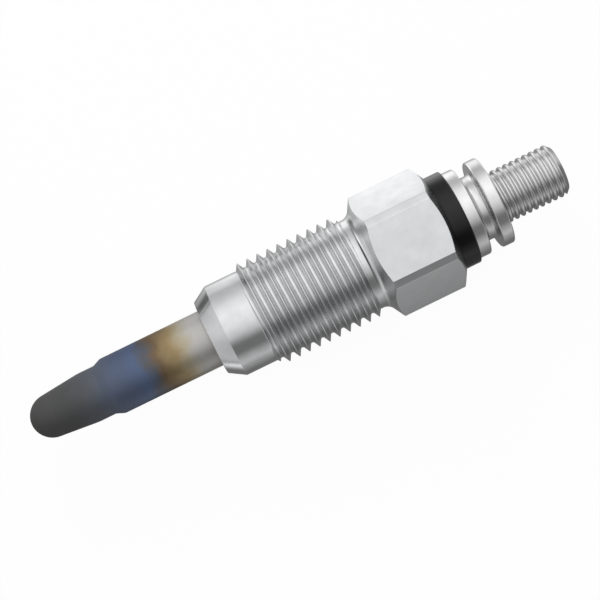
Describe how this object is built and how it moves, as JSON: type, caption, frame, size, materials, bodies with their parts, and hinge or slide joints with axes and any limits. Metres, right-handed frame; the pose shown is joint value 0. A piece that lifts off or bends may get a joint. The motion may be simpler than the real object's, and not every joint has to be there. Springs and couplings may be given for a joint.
{
  "type": "diesel glow plug",
  "caption": "Sheathed-element glow plug: threaded steel body with hexagon, slim heating tube, insulated terminal with grooved nut and threaded stud.",
  "frame": {"origin": "on the plug's axis, level with the outer edge of the sealing cone", "axes": "+X along the axis to the terminal, +Z square to one pair of hexagon flats"},
  "size_m": [0.0633, 0.0142, 0.0128],
  "materials": {
    "plated_steel": "bright zinc plate, satin, turned",
    "sheath_alloy": "heat-tinted nickel alloy: grey tip, then blue, straw and silver",
    "resistance_wire": "drawn wire, matt",
    "magnesia": "packed white powder",
    "seal_rubber": "smooth soft rubber",
    "stud_steel": "turned steel, satin",
    "black_plastic": "moulded thermoset, satin",
    "nut_steel": "turned and plated, satin"
  },
  "bodies": {
    "root": {"shell": "plated_steel", "glow_tube": "sheath_alloy", "heating_coil": "resistance_wire", "regulating_coil": "resistance_wire", "magnesia_filling": "magnesia", "tube_seal": "seal_rubber", "stud_seal": "seal_rubber", "terminal_stud": "stud_steel", "insulating_washer": "black_plastic", "collar_nut": "nut_steel"}
  },
  "joints": []
}
